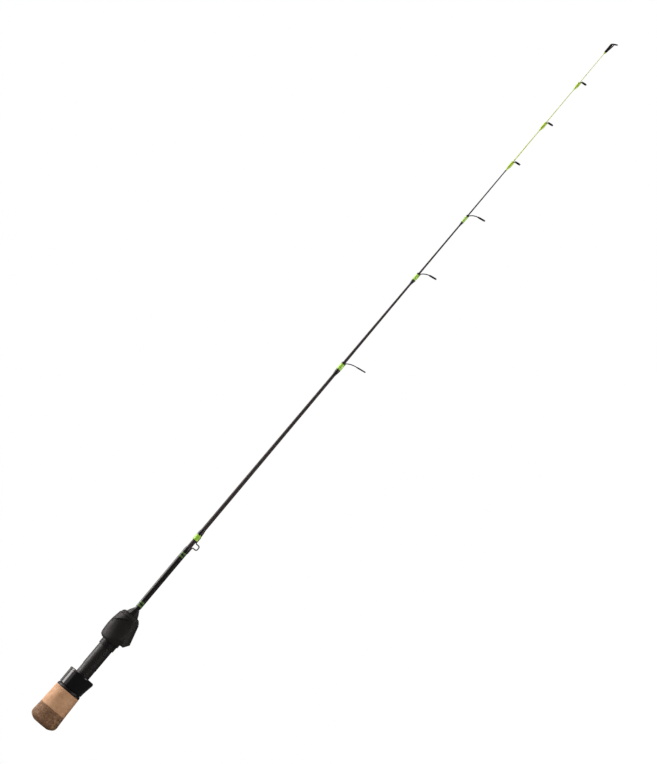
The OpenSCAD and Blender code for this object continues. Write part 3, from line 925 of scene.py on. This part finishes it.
def band(name, x0, x1, radius, foot=0.0):
    """A short band of coloured thread under the varnish, with rounded shoulders."""
    rise = 0.035
    shoulders = [(0.0, -0.05), (0.05, 0.5), (0.16, 0.9), (0.32, 1.0)]
    stops = [(x0 + inward, share) for inward, share in shoulders]
    stops += [(x1 - inward, share) for inward, share in reversed(shoulders)]

    def section(x, share):
        return x, lambda a: radius + rise * share + foot * underside(a)

    core = plain(radius - 0.2)
    sections = [(x0, core)] + [section(*stop) for stop in stops] + [(x1, core)]
    return polar_loft(name, sections, sides=72, crease=50)


# The taper of the blank and the tip: stations as shares of the rod's length, and radii in millimetres
TAPER = [(0.03, 2.3), (0.29, 1.8), (0.385, 1.6), (0.507, 1.32), (0.6, 1.0), (0.695, 0.68)]
TAPER += [(0.818, 0.45), (0.858, 0.37), (0.911, 0.28), (0.993, 0.22)]


def blank_radius(x):
    """The blank's or the tip's radius at a station."""
    share = x / box_mm("tip_top_frame")[1].x
    for (rear, rear_radius), (front, front_radius) in zip(TAPER, TAPER[1:]):
        if share <= front:
            return rear_radius + (front_radius - rear_radius) * (share - rear) / (front - rear)
    return TAPER[-1][1]


def fore_windings(black, green):
    """The varnished length ahead of the grip, with its twin trims."""
    low, high = box_mm("fore_wrap")
    radius, under, trim = high.y, 2.0, 1.6
    piece = winding("fore_winding", low.x, high.x, under, under, radius, 0)
    fit(piece, black, "rod", "wrap_black", "fore_wrap")
    for node, name in (("trim_bands_rear", "rear_trim"), ("trim_bands_front", "front_trim")):
        low, high = box_mm(node)
        first = band(name + "_a", low.x, low.x + trim, radius)
        second = band(name + "_b", high.x - trim, high.x, radius)
        fit(joined(name, first, second), green, "rod", "trim_green", node)


def keeper_windings(black, lime):
    """The hook keeper's own wrap, and the lime band on it."""
    low, high = box_mm("keeper_wrap")
    length = high.x - low.x
    body = high.y
    foot = 0.06
    stops = [(0, 1.95), (0.05, body - 0.25), (0.3, body - 0.04), (0.8, body), (length - 4.6, body)]
    stops += [(length - 3.4, body - 0.09), (length - 1.6, body - 0.34), (length - 0.3, 1.86), (length, 1.79)]
    core = plain(1.6)
    sections = [(low.x, core)]
    for offset, r in stops:
        sections.append((low.x + offset, lambda a, r=r: r + foot * underside(a)))
    sections.append((high.x, core))
    piece = polar_loft("keeper_winding", sections, sides=72, crease=40)
    fit(piece, black, "rod", "wrap_black", "keeper_wrap")
    low, high = box_mm("keeper_band")
    piece = band("keeper_trim", low.x, high.x, body, foot=foot)
    fit(piece, lime, "rod", "band_lime", "keeper_band")


def hook_keeper(steel):
    """A squared loop of fine wire whose two ends run under the windings."""
    low, high = box_mm("hook_keeper")
    rear = box_mm("fore_wrap")[1].x + 1.5
    front = rear + 4.3
    radius, bend = 0.5, 1.5
    top, bottom = -2.25, low.z + radius + 0.02
    half_way = (top + bottom) / 2

    def corner(centre, *degrees):
        turns = [math.radians(d) for d in degrees]
        return [(centre + bend * math.cos(t), 0, bottom + bend + bend * math.sin(t)) for t in turns]

    knots = [(low.x + 0.4, 0, top), (rear - 1.7, 0, top)]
    knots += [(rear - 0.5, 0, top - 0.12), (rear - 0.02, 0, top - 0.8)]
    knots += [(rear, 0, half_way), *corner(rear + bend, 180, 205, 230, 255, 270)]
    knots += [((rear + front) / 2, 0, bottom), *corner(front - bend, 270, 285, 310, 335, 360)]
    knots += [(front, 0, half_way), (front + 0.02, 0, top - 0.8), (front + 0.5, 0, top - 0.12)]
    knots += [(front + 1.7, 0, top), (high.x - 0.4, 0, top)]
    fit(wire("keeper_loop", knots, radius, per_span=6), steel, "rod", "keeper_steel", "hook_keeper")


# ---------------------------------------------------------------- guides


# For each guide from the butt to the tip: its ring's lean in degrees, and half its rim's width
LEANS = (9.5, 10, 10, 8, 8, 8)
RIM_HALF = (0.45, 0.6, 0.6, 0.68, 0.68, 0.68)
TIP_LEAN = 30


def ring_place(node, lean):
    """A guide ring's middle, in millimetres, and the matrix that leans a ring turned about X into place."""
    low, high = box_mm(node)
    middle = (low + high) / 2
    place = Matrix.Translation(middle * MM) @ Matrix.Rotation(math.radians(-lean), 4, "Y")
    return middle, place


def ceramic_ring(name, node, lean, ceramic, half=0.575):
    """A ring insert with rounded edges, half its width either side of the middle."""
    outer = box_mm(node)[1].y
    inner = outer - 0.5
    edge = inner + 0.05
    outline = [(-half, outer, 0.2), (-half, edge, 0.3), (0, inner, 0), (half, edge, 0.3), (half, outer, 0.2)]
    piece = turned(name, outline, sides=128, matrix=ring_place(node, lean)[1])
    fit(piece, ceramic, "rod", "ring_ceramic", node)


def guide_hoop(outer, place, half=0.45):
    """The stamped rim that holds a ceramic ring."""
    inner = outer - 0.6
    outline = [(-half, inner, 0.08), (half, inner, 0.08), (half, outer, 0.3), (-half, outer, 0.3)]
    return turned("hoop", outline, sides=128, matrix=place)


def small_leg(start, hold):
    """The knots and radius of a short leg, straight from the foot to the hoop."""
    return [start, start.lerp(hold, 0.5) + Vector((0.12, 0, -0.05)), hold], 0.42


def long_leg(side, start, hold, run, drop):
    """The knots and radius of a leg that sweeps forward and down to the hoop."""
    knee = start + Vector((run * 0.5 - 0.1, side * 0.1, -drop * 0.14))
    shin = start + Vector((run * 0.85 - 0.1, side * 0.95, -drop * 0.36))
    knots = []
    for i in range(9):
        t = i / 8
        u = 1 - t
        knots.append(start * u**3 + knee * (3 * u * u * t) + shin * (3 * u * t * t) + hold * t**3)
    return knots, 0.4


def guide_wirework(number, lean, rim, front):
    """A guide's hoop and its two legs, which run under its winding; front is where the winding ends."""
    small = number > 3
    middle, place = ring_place(f"guide_{number}_ring", lean)
    outer = box_mm(f"guide_{number}_frame")[1].y
    near = outer - 0.3
    turn = math.radians(62 if small else 38)
    up = near * math.cos(turn)
    tilt = math.radians(lean)
    hold = Vector((-up * math.sin(tilt), near * math.sin(turn), up * math.cos(tilt)))
    foot_z = -blank_radius(front) - 0.4
    pieces = [guide_hoop(outer, place, rim)]
    for side in (-1, 1):
        end = middle + Vector((hold.x, side * hold.y, hold.z))
        start = Vector((front + 0.1, side * 0.35, foot_z))
        under = [start + Vector((back, side * -0.01, lift)) for back, lift in ((-2.5, 0.3), (-0.8, 0.1))]
        if small:
            knots, radius = small_leg(start, end)
        else:
            knots, radius = long_leg(side, start, end, middle.x - 0.5 - front, -middle.z)
        pieces.append(wire("leg", under + knots, radius, sides=16, per_span=4))
    return joined(f"guide_{number}_wirework", *pieces)


def guide(number, lean, materials):
    """One line guide: its wirework, its ceramic ring, its winding, and a band or thread end on some."""
    small = number > 3
    rim = RIM_HALF[number - 1]
    low, high = box_mm(f"guide_{number}_wrap")
    rear, front, body = low.x, high.x, high.y
    piece = guide_wirework(number, lean, rim, front)
    fit(piece, materials["frame"], "rod", "frame_dark", f"guide_{number}_frame")
    ceramic_ring(f"guide_{number}_insert", f"guide_{number}_ring", lean, materials["ceramic"], rim + 0.12)

    thread, slot = ("lime_thread", "wrap_lime") if small else ("black_thread", "wrap_black")
    foot = 0.35 if small else 0.12
    over = body + 0.1 if small else body
    name = f"guide_{number}_winding"
    piece = winding(name, rear, front, blank_radius(rear), blank_radius(front), over, 5.0, foot)
    fit(piece, materials[thread], "rod", slot, f"guide_{number}_wrap")
    if not small:
        low, high = box_mm(f"guide_{number}_band")
        piece = band(f"guide_{number}_trim", low.x, high.x, body, foot=foot)
        fit(piece, materials["lime_band"], "rod", "band_lime", f"guide_{number}_band")
    if number == 4:
        piece = band("guide_4_thread_end", rear - 0.9, rear + 0.1, blank_radius(rear) + 0.08)
        fit(piece, materials["black_thread"], "rod", "wrap_black")


def tip_tube(rear):
    """The tube over the tip's end, beaded behind and closed in front; and its radius."""
    radius, bore = 0.98, 0.3
    front, bottom = rear + 8.4, rear + 6.0
    outline = [
        (rear, bore, 0),
        (rear, radius, 0.15),
        (rear + 0.5, radius, 0.1),
        (rear + 0.7, radius - 0.06, 0.1),
        (rear + 0.9, radius, 0.1),
        (front - 0.5, radius, 0.4),
        (front, radius - 0.35, 0.3),
        (front, 0.01, 0),
        (bottom, 0.01, 0),
        (bottom, bore, 0),
    ]
    return turned("tube", outline, sides=64), radius


def tip_top(materials):
    """The tip guide: a tube over the tip's end, a leaning hoop braced by two wires, and a lime collar."""
    rear = box_mm("tip_collar")[1].x
    tube, tube_radius = tip_tube(rear)
    middle, place = ring_place("tip_top_ring", TIP_LEAN)
    outer = box_mm("tip_top_frame")[1].y - 0.03
    near = outer - 0.3
    pieces = [tube, guide_hoop(outer, place)]
    for side in (-1, 1):
        start = Vector((rear + 2.5, side * 0.6, -tube_radius + 0.1))
        hold = Vector((middle.x - 0.45, side * near * 0.98, middle.z + 0.2))
        lead = start + Vector((-1.4, side * -0.05, 0.12))
        bow = start.lerp(hold, 0.55) + Vector((0, side * 0.12, -0.1))
        pieces.append(wire("brace", [lead, start, bow, hold], 0.42, sides=16))
    fit(joined("tip_top_wirework", *pieces), materials["frame"], "rod", "frame_dark", "tip_top_frame")
    ceramic_ring("tip_top_insert", "tip_top_ring", TIP_LEAN, materials["ceramic"])

    low, high = box_mm("tip_collar")
    collar = [
        (low.x, 0.2, 0),
        (low.x, 0.4, 0.05),
        (low.x + 0.3, 0.74, 0.15),
        (high.x - 0.1, high.z, 0.15),
        (high.x, high.z - 0.12, 0),
        (high.x, 0.2, 0),
    ]
    piece = turned("tip_binding", collar, sides=64)
    fit(piece, materials["lime_thread"], "rod", "wrap_lime", "tip_collar")


# ---------------------------------------------------------------- floor, light and camera


def studio_floor(low, middle):
    """A pale, self-lit sheet of paper below the rod, which neither lights it nor shows in its gloss."""
    half, drop = 6, 0.3
    centre = Vector((middle.x, middle.y, low.z - drop))
    corners = [centre + Vector((half * a, half * b, 0)) for a, b in ((-1, -1), (1, -1), (1, 1), (-1, 1))]
    floor = mesh_piece("studio_floor", corners, [(0, 1, 2, 3)])
    f = Finish("floor_paper")
    white = f.mixed(f.noise(140, 4), (0.9, 0.9, 0.9), (0.94, 0.94, 0.94))
    paper = f.surface(Base_Color=white, Roughness=0.85, Emission_Color=(1.0, 1.0, 1.0), Emission_Strength=1.0)
    floor.data.materials.append(paper)
    floor.visible_diffuse = floor.visible_glossy = floor.visible_shadow = False
    floor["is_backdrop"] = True


def lamp(name, middle, place, size, power, mirrored=True):
    """A soft rectangular lamp that faces the rod's middle; its gloss shows on the rod if it is mirrored."""
    light = bpy.data.lights.new(name, "AREA")
    light.shape = "RECTANGLE"
    light.size, light.size_y = size
    light.energy = power
    light.color = (1.0, 0.95, 0.93)
    fixture = bpy.data.objects.new(name, light)
    fixture.location = middle + Vector(place)
    fixture.rotation_euler = (-Vector(place)).to_track_quat("-Z", "Y").to_euler()
    fixture.visible_camera = False
    fixture.visible_glossy = mirrored
    bpy.context.scene.collection.objects.link(fixture)


def studio_air():
    """A white surround that is bright to look at and sheds little light."""
    world = bpy.data.worlds.new("studio_air")
    world.use_nodes = True
    bpy.context.scene.world = world
    tree = world.node_tree
    sky = tree.nodes["Background"]
    sky.inputs["Color"].default_value = (1, 1, 1, 1)
    path = tree.nodes.new("ShaderNodeLightPath")
    strength = tree.nodes.new("ShaderNodeMapRange")
    tree.links.new(path.outputs["Is Camera Ray"], strength.inputs["Value"])
    strength.inputs["To Min"].default_value = 0.05
    strength.inputs["To Max"].default_value = 1.0
    tree.links.new(strength.outputs["Result"], sky.inputs["Strength"])
    bpy.context.scene.view_settings.view_transform = "Standard"


def studio():
    """A pale floor and surround, lamps above that show in the gloss, and fills all round that don't."""
    low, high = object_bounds()
    middle = (low + high) / 2
    studio_floor(low, middle)
    lamp("softbox", middle, (0, 0.12, 1.2), (1.9, 0.56), 16)
    lamp("back_glow", middle, (0, 0.95, 0.95), (1.9, 0.7), 2.6)
    lamp("front_glow", middle, (0, -0.5, 1.1), (1.9, 0.6), 1.5)
    lamp("low_bounce", middle, (0.2, -0.16, -0.5), (0.95, 0.2), 1.3)
    lamp("top_fill", middle, (0, 0.5, 1.4), (1.9, 0.9), 20, mirrored=False)
    lamp("left_fill", middle, (-1.3, -1.6, 0.3), (1.0, 1.0), 9, mirrored=False)
    lamp("right_fill", middle, (1.3, -1.6, 0.3), (1.0, 1.0), 9, mirrored=False)
    lamp("under_fill", middle, (0, -0.7, -1.3), (1.6, 1.0), 7, mirrored=False)
    studio_air()


def camera():
    """Looks square at the rod's side, rolled so that the tip stands at the upper right."""
    low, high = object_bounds()
    length = high.x - low.x
    slant = math.radians(49.94)
    distance = 14 * length
    aim = Vector((low.x + 0.5016 * length, 0, -0.00045 * length))
    right = Vector((math.cos(slant), 0, -math.sin(slant)))
    upward = Vector((math.sin(slant), 0, math.cos(slant)))
    back = right.cross(upward)
    turn = Matrix((right, upward, back)).transposed().to_4x4()
    data = bpy.data.cameras.new("camera")
    data.lens = 59.08 * distance
    data.clip_end = 40
    eye = bpy.data.objects.new("camera", data)
    eye.matrix_world = Matrix.Translation(aim + back * distance) @ turn
    bpy.context.scene.collection.objects.link(eye)
    bpy.context.scene.camera = eye


# ---------------------------------------------------------------- the rod


def build():
    """Makes the finishes, then each piece from the butt to the tip, then the studio."""
    cork = light_cork()
    burl = burl_cork()
    knob_black = moulded("knob_black", linear(24, 22, 23), 0.4, 2600, 8)
    hood_gloss = moulded("hood_gloss", linear(14, 12, 14), 0.16, 900, 8, wear=0.1, coat=1.0)
    seat_matte = moulded("seat_matte", linear(25, 23, 23), 0.42, 2600, 10)
    barrel = barrel_moulding()
    soft = soft_grip()
    materials = {
        "frame": plated_wire("frame_plating", linear(44, 38, 38), linear(110, 100, 98), 0.26),
        "ceramic": ring_ceramic(),
        "black_thread": wound("black_thread", linear(26, 21, 21), linear(11, 9, 9), 0.22),
        "lime_thread": wound("lime_thread", linear(200, 236, 44), linear(150, 190, 20), 0.2),
        "lime_band": wound("lime_band", linear(188, 240, 94), linear(142, 198, 56), 0.2),
    }
    green = wound("green_thread", linear(96, 132, 62), linear(56, 84, 36), 0.2)
    steel = plated_wire("keeper_wire", linear(112, 106, 104), linear(190, 186, 182), 0.24)

    cork_knob(cork, burl)
    knob_flange(knob_black)
    hood_shell(hood_gloss)
    seat_barrel(barrel)
    seat_collar(seat_matte)
    front_grip(soft)
    grip_bevel(soft)
    ring_studs(hood_gloss)
    nose_nut(seat_matte)
    fore_windings(materials["black_thread"], green)
    keeper_windings(materials["black_thread"], materials["lime_band"])
    hook_keeper(steel)
    for number, lean in enumerate(LEANS, start=1):
        guide(number, lean, materials)
    tip_top(materials)

    faced("blank", carbon_blank())
    faced("tip_section", tip_paint())
    foam = arbor_foam()
    faced("rear_arbor", foam)
    faced("front_arbor", foam)
    faced("snap_ring", plated_wire("spring_wire", linear(170, 170, 172), linear(220, 220, 222), 0.2))
    studio()
    camera()


build()
